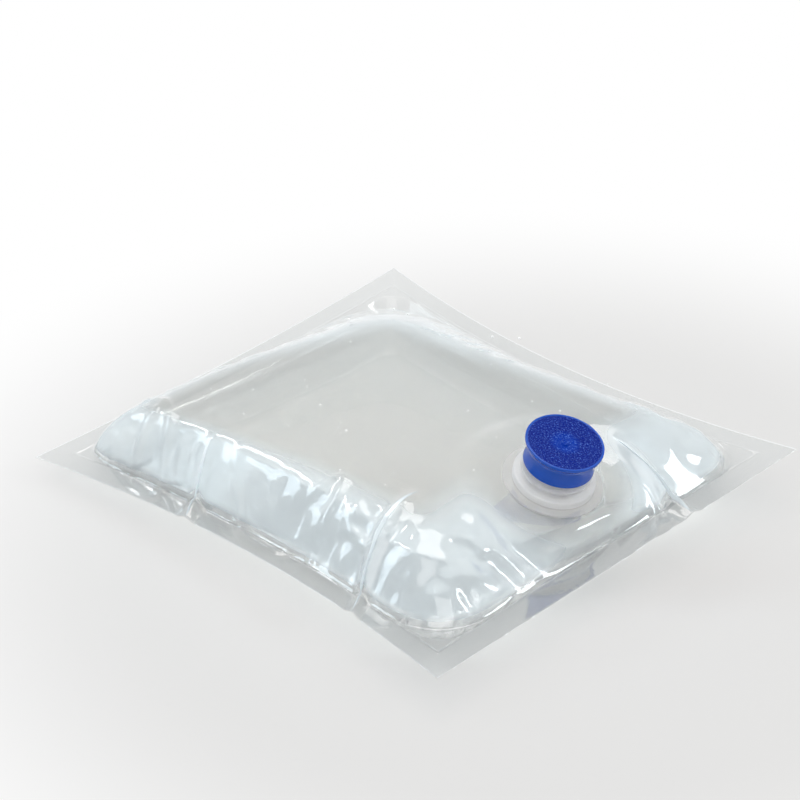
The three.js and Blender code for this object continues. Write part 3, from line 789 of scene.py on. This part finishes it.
@dataclass
class FilmBag:
    """The two film panels, the pleats on them, and the water and bubbles between them."""

    form: BagForm
    settler: FilmSettler
    rows: int = 221
    columns: int = 205
    crowding: float = 0.35
    water_clearance: float = 0.2
    pleat_height: float = 3.8
    pleat_lean: float = 0.5
    bubble_count: int = 48
    pleat_steps: int = 60
    pleat_sides: int = 12
    bubble_parallels: int = 9
    bubble_meridians: int = 14
    hole_radius: float = 17.6
    air: BubbleFinish = BubbleFinish()
    film: FilmFinish = FilmFinish()
    folded: FilmFinish = FilmFinish("folded_film", mirror_gain=3.0, gloss_roughness=0.22, haze=0.65)
    water: WaterFinish = WaterFinish()

    def parameters(self) -> tuple[Grid, Grid]:
        """The net's parameters, closer together near the edges.

        Formula: a straight count from -1 to 1, blended with the sine of its quarter turn.
        """
        steps = [np.linspace(-1, 1, count) for count in (self.rows, self.columns)]
        a, b = [lerp(t, np.sin(t * math.pi / 2), self.crowding) for t in steps]
        return np.meshgrid(a, b, indexing="ij")

    def build(self) -> list[bpy.types.Object]:
        """Makes the two panels, the water, the pleats and the bubbles, and returns them."""
        form = self.form
        a, b = self.parameters()
        base = form.front(a, b)
        front = self.settler.run(form, a, b)
        ridge = sum(crease.rise(base[..., 0], base[..., 1]) for crease in CREASES)
        ridge = ridge * (1 - form.flange_hold(base[..., 0], base[..., 1], b))
        front = front + ridge[..., None] * grid_normals(base)
        along_x, along_y = form.inset(a, b)
        inward = np.minimum(along_x, along_y)
        follow = 1 - smooth(inward / 24)
        back = form.back(a, b) + follow[..., None] * (front - base)
        back[..., 2] = np.maximum(back[..., 2], form.gauge / 2)
        slope = 1 - smooth((form.front_climb(a, b) - 0.5) / 0.5)
        off_flange = 1 - form.flange_hold(base[..., 0], base[..., 1], b)
        # loose marks the slack slopes, where the film is painted lighter, bluer and hazier as painted light
        loose = smooth((inward + 2) / 5) * smooth(form.front_climb(a, b) * 12) * slope * off_flange
        # wet marks the film over the water, which is painted lighter and warmer as painted light
        wet = smooth((inward + 1) / 2) * smooth(form.front_climb(a, b) * 20)
        front_marks = {"inset": inward, "wet": wet, "loose": loose}
        back_marks = {"inset": inward, "wet": wet, "loose": 0 * loose}
        pieces = [
            self.panel("front_film_skin", front, Side.FRONT, front_marks),
            self.panel("back_film_skin", back, Side.BACK, back_marks),
            self.water_body(front, back, a, b),
            self.pleats(front, a, b),
            self.bubbles(),
        ]
        return pieces

    def pleats(self, front: Grid, a: Grid, b: Grid) -> bpy.types.Object:
        """The thin fins of film that stand along the three gathers.

        Formula: along each gather's line a blade rises from the panel, highest a third of the way in
        and nothing at its tip; its section is a drop, wide at its foot and thin at its crest.
        """
        t = np.linspace(0, 1, self.pleat_steps)
        sides = self.pleat_sides
        turn = np.linspace(0, 2 * math.pi, sides, endpoint=False)
        rise, wide = 0.5 - 0.5 * np.cos(turn), np.sin(turn)
        points, faces = [], []
        for k, (line_a, line_b) in enumerate(self.gather_lines(t)):
            row = np.interp(line_a, a[:, 0], np.arange(a.shape[0]))
            column = np.interp(line_b, b[0], np.arange(b.shape[1]))
            foot = self.sample(front, row, column)
            normal = self.sample(grid_normals(front), row, column)
            tangent = np.gradient(foot, axis=0)
            tangent /= np.linalg.norm(tangent, axis=1, keepdims=True)
            aside = np.cross(tangent, normal)
            tall = self.pleat_height * smooth(t * 4) * (1 - t) ** 0.8 + 0.05
            lean = aside * (self.pleat_lean * np.sin(t * 5 + k))[:, None]
            up = (tall[:, None] * rise - 0.35)[..., None] * (normal + lean)[:, None]
            thick = 0.12 + 0.55 * (1 - rise) * np.minimum(tall, 1.5)[:, None]
            ring = foot[:, None] + up + (thick * wide)[..., None] * aside[:, None]
            first = sum(len(p) for p in points)
            points.append(ring.reshape(-1, 3))
            i = np.arange(len(t) - 1)[:, None] * sides + first
            j = np.arange(sides)[None]
            right = (j + 1) % sides
            quads = np.stack([i + j, i + right, i + sides + right, i + sides + j], axis=-1).reshape(-1, 4)
            faces += quads[:, ::-1].tolist()
            faces.append((np.arange(sides) + first).tolist())
            faces.append((np.arange(sides)[::-1] + first + sides * (len(t) - 1)).tolist())
        piece = mesh_object("film_pleats", np.concatenate(points), faces)
        piece.data.materials.append(self.folded.material())
        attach(piece, "bag")
        return piece

    def gather_lines(self, t: Grid) -> list[tuple[Grid, Grid]]:
        """The three gathers' lines in the panel's parameters.

        Args:
            t: places along a line, from 0 at the seal to 1 at its tip.

        Returns:
            Each line's two parameters.
        """
        form = self.form
        half_length, half_width = form.length / 2, form.width / 2
        near = [(form.tail_gather_x, form.tail_gather_reach), (form.front_gather_x, form.front_gather_reach)]
        lines = [(np.full_like(t, x / half_length), t * reach / half_width - 1) for x, reach in near]
        end = 1 - t * form.end_gather_reach / half_length
        lines.append((end, np.full_like(t, form.end_gather_y / half_width)))
        return lines

    def sample(self, field: Grid, row: Grid, column: Grid) -> Grid:
        """Bilinear samples of a grid at fractional rows and columns."""
        i = np.clip(np.floor(row).astype(int), 0, field.shape[0] - 2)
        j = np.clip(np.floor(column).astype(int), 0, field.shape[1] - 2)
        u, v = (row - i)[:, None], (column - j)[:, None]
        return lerp(lerp(field[i, j], field[i + 1, j], u), lerp(field[i, j + 1], field[i + 1, j + 1], u), v)

    def bubbles(self) -> bpy.types.Object:
        """Small bubbles of air just below the water's level.

        Formula: each is a flattened ball of sines and cosines at a seeded place in a rectangle round
        the plateau, all at one height. Known fault: the panel slopes down inside that rectangle, and
        there 7 of the 48 bubbles lie outside the film and one pokes through it. Each should lie under
        the lower of the water's level and the panel.

        Returns:
            The bubbles, as one piece.
        """
        rng = np.random.default_rng(self.settler.seed)
        count = self.bubble_count
        centre = np.stack([
            rng.uniform(-85, 60, count),
            rng.uniform(-60, 85, count),
            np.full(count, self.form.water_level - 1.1),
        ], axis=1)
        radius = rng.uniform(0.3, 0.75, count)
        ball, shape = self.flat_ball()
        points = (centre[:, None] + radius[:, None, None] * ball).reshape(-1, 3)
        faces = [[v + k * len(ball) for v in face] for k in range(count) for face in shape]
        piece = mesh_object("air_bubbles", points, faces)
        piece.data.materials.append(self.air.material())
        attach(piece, "bag")
        return piece

    def flat_ball(self) -> tuple[Grid, list]:
        """A ball of radius 1, flattened to three quarters of its height.

        Returns:
            Points and faces.
        """
        turns = self.bubble_meridians
        lat = np.linspace(0, math.pi, self.bubble_parallels)[1:-1]
        lon = np.linspace(0, 2 * math.pi, turns, endpoint=False)
        ring = np.stack([
            np.sin(lat)[:, None] * np.cos(lon),
            np.sin(lat)[:, None] * np.sin(lon),
            0.75 * np.cos(lat)[:, None] * np.ones_like(lon),
        ], axis=-1).reshape(-1, 3)
        ball = np.concatenate([ring, [[0, 0, 0.75], [0, 0, -0.75]]])
        i, j = np.arange(len(lat) - 1)[:, None] * turns, np.arange(turns)[None]
        right = (j + 1) % turns
        quads = np.stack([i + j, i + turns + j, i + turns + right, i + right], axis=-1).reshape(-1, 4)
        top = np.stack([np.full(turns, len(ring)), j[0], right[0]], axis=1)
        low = turns * (len(lat) - 1)
        bottom = np.stack([np.full(turns, len(ring) + 1), low + right[0], low + j[0]], axis=1)
        return ball, quads.tolist() + top.tolist() + bottom.tolist()

    def panel(self, name: str, points: Grid, side: Side, marks: dict[str, Grid]) -> bpy.types.Object:
        """A panel of film, with a round hole for the spout in the front one.

        Args:
            name: the object's name.
            points: the panel's middle surface.
            side: front or back.
            marks: values at each point by attribute name: inset is the distance from the seal's inner line,
                wet is 1 over the filling, where the film is painted lighter and warmer, and loose is 1 where
                the film is slack, where it is painted lighter, bluer and hazier.

        Returns:
            The panel.
        """
        form = self.form
        values = {label: mark.ravel() for label, mark in marks.items()}
        quads = grid_quads(*points.shape[:2])
        flat = points.reshape(-1, 3).copy()
        if side is Side.FRONT:
            hole = self.hole_radius
            dx = (flat[:, 0] - form.spout_x) / math.cos(form.tilt)
            dy = flat[:, 1] - form.spout_y
            radius = np.hypot(dx, dy)
            keep = (radius[quads] > hole).any(axis=1)
            quads = quads[keep]
            rim = np.unique(quads[(radius[quads] <= hole).any(axis=1)])
            rim = rim[radius[rim] <= hole]
            scale = hole / radius[rim]
            flat[rim, 0] = form.spout_x + dx[rim] * scale * math.cos(form.tilt)
            flat[rim, 1] = form.spout_y + dy[rim] * scale
            plane = form.spout_z - math.tan(form.tilt) * (flat[rim, 0] - form.spout_x)
            flat[rim, 2] = plane + form.panel_offset
            used, quads = np.unique(quads, return_inverse=True)
            flat, quads = flat[used], quads.reshape(-1, 4)
            values = {label: mark[used] for label, mark in values.items()}
        piece = mesh_object(name, flat, quads)
        for label, mark in values.items():
            piece.data.attributes.new(label, "FLOAT", "POINT").data.foreach_set("value", mark)
        wall = piece.modifiers.new("gauge", "SOLIDIFY")
        wall.thickness = form.gauge * MM
        wall.offset = 0.0
        known = bpy.data.materials.get(self.film.name)
        piece.data.materials.append(known or self.film.material())
        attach(piece, "bag")
        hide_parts("front_film" if side is Side.FRONT else "back_film")
        return piece

    def water_body(self, front: Grid, back: Grid, a: Grid, b: Grid) -> bpy.types.Object:
        """The water: the panels' insides, cut by its level, by the flange and by its rim.

        Args:
            front: the front panel's points.
            back: the back panel's points.
            a: first parameter of each point.
            b: second parameter of each point.

        Returns:
            The closed body of water.
        """
        form = self.form
        clear = form.gauge / 2 + self.water_clearance
        roof = front - clear * grid_normals(front)
        floor = back + clear * grid_normals(back)
        x, y = roof[..., 0], roof[..., 1]
        from_axis = np.hypot((x - form.spout_x) / math.cos(form.tilt), y - form.spout_y)
        under = form.spout_z - 1.9 - math.tan(form.tilt) * (x - form.spout_x)
        roof[..., 2] = np.minimum(roof[..., 2], form.water_level)
        cut = from_axis < form.flange_radius + 0.5
        roof[..., 2] = np.where(cut, np.minimum(roof[..., 2], under), roof[..., 2])
        middle = (front[..., 2] + back[..., 2]) / 2
        thin = roof[..., 2] - floor[..., 2] < 0.04
        roof[..., 2] = np.where(thin, middle + 0.02, roof[..., 2])
        floor[..., 2] = np.where(thin, middle - 0.02, floor[..., 2])
        along_x, along_y = form.inset(a, b)
        filled = form.front_climb(a, b) > 0
        filled &= (along_x > 0) & (along_y > 0)
        rows, columns = a.shape
        quads = grid_quads(rows, columns)
        quads = quads[filled.ravel()[quads].all(axis=1)]
        count = rows * columns
        faces = np.concatenate([quads, quads[:, ::-1] + count, rim_walls(quads, count)])
        points = np.concatenate([roof.reshape(-1, 3), floor.reshape(-1, 3)])
        used, faces = np.unique(faces, return_inverse=True)
        piece = mesh_object("water_body", points[used], faces.reshape(-1, 4))
        piece.data.materials.append(self.water.material())
        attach(piece, "bag")
        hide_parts("liquid_fill")
        return piece


def filleted(corners: list[tuple[float, float, float]], steps: int = 6) -> Grid:
    """A closed outline with its corners rounded.

    Formula: each corner becomes an arc tangent to its two sides, sampled by blending the two tangent
    points with the corner as a quadratic curve.

    Args:
        corners: radius, height and fillet of each corner.
        steps: points on each arc less one.

    Returns:
        The outline's points, two columns.
    """
    points = np.array([c[:2] for c in corners])
    fillets = np.array([c[2] for c in corners])
    before = np.roll(points, 1, axis=0) - points
    after = np.roll(points, -1, axis=0) - points
    reach_before = np.minimum(fillets, np.linalg.norm(before, axis=1) * 0.45)
    reach_after = np.minimum(fillets, np.linalg.norm(after, axis=1) * 0.45)
    start = points + before / np.linalg.norm(before, axis=1)[:, None] * reach_before[:, None]
    end = points + after / np.linalg.norm(after, axis=1)[:, None] * reach_after[:, None]
    t = np.linspace(0, 1, steps + 1)[None, :, None]
    arcs = (1 - t) ** 2 * start[:, None] + 2 * t * (1 - t) * points[:, None] + t**2 * end[:, None]
    rounded = fillets > 0
    lists = [arc if is_round else point[None] for arc, point, is_round in zip(arcs, points, rounded)]
    return np.concatenate(lists)


def revolved(outline: Grid, segments: int, closed: bool) -> tuple[Grid, list]:
    """A surface of revolution about the Z axis.

    Formula: each outline point is carried round a circle of its radius.

    Args:
        outline: radius and height of each point.
        segments: steps round the circle.
        closed: the outline closes on itself, and otherwise it starts and ends on the axis.

    Returns:
        Points and faces.
    """
    inner = outline if closed else outline[1:-1]
    turn = np.linspace(0, 2 * math.pi, segments, endpoint=False)
    ring = np.stack([np.cos(turn), np.sin(turn)], axis=-1)
    xy = inner[:, None, :1] * ring[None]
    z = np.broadcast_to(inner[:, None, 1:], (*xy.shape[:2], 1))
    points = np.concatenate([xy, z], axis=-1).reshape(-1, 3)
    count = len(inner)
    i = np.arange(count if closed else count - 1)[:, None]
    j = np.arange(segments)[None]
    here, there = i * segments, ((i + 1) % count) * segments
    right = (j + 1) % segments
    quads = np.stack(np.broadcast_arrays(here + j, here + right, there + right, there + j), axis=-1)
    faces = quads.reshape(-1, 4).tolist()
    if not closed:
        poles = np.array([[0, 0, outline[0, 1]], [0, 0, outline[-1, 1]]])
        first, last = len(points), len(points) + 1
        points = np.concatenate([points, poles])
        j = np.arange(segments)
        right = (j + 1) % segments
        tail = (count - 1) * segments
        faces += np.stack([np.full(segments, first), right, j], axis=1).tolist()
        faces += np.stack([np.full(segments, last), tail + j, tail + right], axis=1).tolist()
    return points, faces


@dataclass
class Fitment:
    """The moulded spout and its push-in cap, on one tilted axis."""

    form: BagForm
    bore: float = 12.7
    flange_thickness: float = 1.3
    ring_radius: float = 18.5
    ring_height: float = 3.4
    neck_radius: float = 14.3
    collar_radius: float = 15.9
    collar_bottom: float = 5.6
    collar_thickness: float = 1.5
    neck_height: float = 9.8
    cap_radius: float = 17.5
    cap_height: float = 12.4
    waist_radius: float = 15.1
    skirt_radius: float = 15.9
    disc_thickness: float = 2.0
    plug_depth: float = 6.6
    plug_wall: float = 1.5
    clearance: float = 0.3
    segments: int = 192
    spout_finish: SpoutFinish = SpoutFinish()
    cap_finish: CapFinish = CapFinish()

    def placed(self, points: Grid) -> Grid:
        """Turns points from the spout's own frame to the bag's."""
        cos, sin = math.cos(self.form.tilt), math.sin(self.form.tilt)
        turn = np.array([[cos, 0, sin], [0, 1, 0], [-sin, 0, cos]])
        centre = [self.form.spout_x, self.form.spout_y, self.form.spout_z + self.form.panel_offset]
        return points @ turn.T + centre

    def build_spout(self) -> bpy.types.Object:
        """The spout: flange, stepped ring, neck and collar round one bore."""
        top = -self.form.gauge / 2 - self.clearance
        low = top - self.flange_thickness
        collar_top = self.collar_bottom + self.collar_thickness
        flange = self.form.flange_radius
        outline = filleted([
            (self.bore, low, 0.3),
            (flange, low, 0.6),
            (flange, top, 0.4),
            (self.ring_radius, top, 0.25),
            (self.ring_radius, self.ring_height, 0.8),
            (self.neck_radius + 1.5, self.ring_height, 0.5),
            (self.neck_radius, self.ring_height + 0.9, 0.4),
            (self.neck_radius, self.collar_bottom - 0.3, 0.2),
            (self.collar_radius, self.collar_bottom, 0.4),
            (self.collar_radius, collar_top, 0.4),
            (self.neck_radius, collar_top + 0.3, 0.3),
            (self.neck_radius, self.neck_height, 0.4),
            (self.bore, self.neck_height, 0.5),
        ])
        points, faces = revolved(outline, self.segments, closed=True)
        piece = mesh_object("moulded_spout", self.placed(points), faces)
        piece.data.materials.append(self.spout_finish.material())
        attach(piece, "bag")
        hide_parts("spout")
        return piece

    def build_cap(self) -> bpy.types.Object:
        """The cap: a rimmed disc, a drawn-in skirt and a hollow plug."""
        skirt = self.neck_height + self.clearance
        top = skirt + self.cap_height
        plug = self.bore - self.clearance
        hollow = plug - self.plug_wall
        low = skirt - self.plug_depth
        ceiling = top - self.disc_thickness
        disc = self.cap_radius
        corners = filleted([
            (0.0, ceiling, 0),
            (hollow, ceiling, 1.0),
            (hollow, low, 0.3),
            (plug, low, 0.8),
            (plug, skirt, 0.2),
            (self.skirt_radius, skirt, 0.35),
            (self.skirt_radius - 0.15, skirt + 1.5, 0.8),
            (self.waist_radius + 0.05, skirt + self.cap_height * 0.34, 1.6),
            (self.waist_radius, skirt + self.cap_height * 0.55, 1.6),
            (self.waist_radius + 0.5, skirt + self.cap_height * 0.7, 1.2),
            (disc - 0.5, ceiling + 0.1, 0.7),
            (disc, ceiling + 0.6, 0.4),
            (disc, top - 0.05, 0.55),
            (disc - 0.55, top, 0.2),
            (disc - 1.0, top - 0.2, 0.2),
            (6.2, top - 0.25, 0.8),
            (3.4, top - 0.6, 0.8),
            (2.1, top - 0.6, 0.3),
            (1.5, top + 0.05, 0.35),
            (0.0, top - 0.1, 0),
        ])
        points, faces = revolved(corners, self.segments, closed=False)
        piece = mesh_object("push_in_cap", self.placed(points), faces)
        piece.data.materials.append(self.cap_finish.material(self.form, top, disc - 0.75))
        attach(piece, "cap")
        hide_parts("cap")
        return piece


@dataclass(frozen=True)
class Lamp:
    """A rectangular softbox, in metres and watts."""

    name: str
    place: tuple
    aim: tuple
    size: tuple
    power: float
    color: tuple

    def build(self) -> None:
        """Puts the lamp in the scene, facing its aim."""
        light = bpy.data.lights.new(self.name, "AREA")
        light.shape = "RECTANGLE"
        light.size, light.size_y = self.size
        light.energy = self.power
        light.color = self.color
        lamp = bpy.data.objects.new(self.name, light)
        lamp.location = self.place
        lamp.rotation_euler = (Vector(self.aim) - Vector(self.place)).to_track_quat("-Z", "Y").to_euler()
        bpy.context.scene.collection.objects.link(lamp)


WARM = (1.0, 0.985, 0.97)
LAMPS = (
    Lamp("key", (-0.35, 0.4, 2.1), (-0.1, 0.1, 0), (1.3, 1.3), 15.5, WARM),
    Lamp("fill", (1.0, -1.0, 1.9), (0, 0, 0), (1.6, 1.6), 16, WARM),
    Lamp("left", (-1.1, -0.8, 0.9), (0, 0, 0.02), (0.6, 0.7), 5.0, (0.76, 0.91, 1.0)),
    Lamp("glint", (-0.9, -0.35, 1.1), (0, 0, 0.02), (0.1, 0.4), 1.4, (0.95, 0.98, 1.0)),
    Lamp("right", (0.9, 0.8, 0.9), (0, 0, 0.02), (0.2, 0.6), 4.5, (0.9, 0.97, 1.0)),
)


@dataclass
class Studio:
    """Floor, lights, world and camera."""

    azimuth: float = 44.86
    elevation: float = 30.95
    distance: float = 1308.1
    target: tuple = (-33.6, 25.5, 20.0)
    lens: float = 126.0
    floor_size: float = 6.0
    floor_middle: tuple = (0.079, -0.003, 0.0)
    floor_clear: float = 0.16
    floor_white: float = 0.34
    floor_color: tuple = (0.69, 0.684, 0.68, 1.0)
    world_level: float = 0.42
    world_color: tuple = (1.0, 0.98, 0.965, 1.0)
    world_white: tuple = (0.955, 0.98, 0.987, 1.0)

    def build(self) -> None:
        """Makes everything that isn't the object."""
        self.make_floor()
        self.make_world()
        for lamp in LAMPS:
            lamp.build()
        self.make_camera()
        bpy.context.scene.view_settings.view_transform = "Standard"

    def make_floor(self) -> None:
        """A pale matt floor under the bag.

        Away from the bag it fades to plain white, but only for rays from the camera, from mirrors
        and through water, so the fade lights nothing.
        """
        half = self.floor_size / 2 / MM
        corners = np.array([[-half, -half, 0], [half, -half, 0], [half, half, 0], [-half, half, 0]])
        floor = mesh_object("floor", corners, [[0, 1, 2, 3]], smooth_faces=False)
        n = Nodes.named("pale_floor")
        matt = n.add("ShaderNodeBsdfDiffuse", {"Color": self.floor_color}).outputs[0]
        place = n.object_place()
        away = n.add("ShaderNodeVectorMath", {0: place, 1: self.floor_middle}, operation="DISTANCE")
        ends = (self.floor_clear, self.floor_white)
        far = n.span(away.outputs["Value"], ends, kind="SMOOTHSTEP")
        white = n.add("ShaderNodeEmission", {"Color": (1, 1, 1, 1)}).outputs[0]
        floor.data.materials.append(n.finish(n.over(n.math("MULTIPLY", far, n.seen()), matt, white)))

    def make_world(self) -> None:
        """White to the camera, to mirrors and through glass, and a plain level to everything else."""
        world = bpy.data.worlds.new("studio")
        n = Nodes(world)
        plain = {"Color": self.world_color, "Strength": self.world_level}
        white = {"Color": self.world_white, "Strength": 1.0}
        both = [n.add("ShaderNodeBackground", inputs).outputs[0] for inputs in (plain, white)]
        n.add("ShaderNodeOutputWorld", {"Surface": n.over(n.seen(), *both)})
        bpy.context.scene.world = world

    def make_camera(self) -> None:
        """The photograph's camera."""
        az, el = math.radians(self.azimuth), math.radians(self.elevation)
        back = Vector((math.sin(az) * math.cos(el), -math.cos(az) * math.cos(el), math.sin(el)))
        data = bpy.data.cameras.new("camera")
        data.lens = self.lens
        data.sensor_width = 36.0
        data.clip_end = 20.0
        camera = bpy.data.objects.new("camera", data)
        camera.location = Vector(self.target) * MM + back * self.distance * MM
        camera.rotation_euler = (-back).to_track_quat("-Z", "Y").to_euler()
        bpy.context.scene.collection.objects.link(camera)
        bpy.context.scene.camera = camera


def main() -> None:
    """Builds the bag, its fitment and the studio."""
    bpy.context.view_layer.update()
    form = BagForm()
    bag = FilmBag(form, FilmSettler())
    for piece in bag.build():
        log.info("%s: %d faces", piece.name, len(piece.data.polygons))
    fitment = Fitment(form)
    for piece in (fitment.build_spout(), fitment.build_cap()):
        log.info("%s: %d faces", piece.name, len(piece.data.polygons))
    Studio().build()


if __name__ == "__main__":
    main()
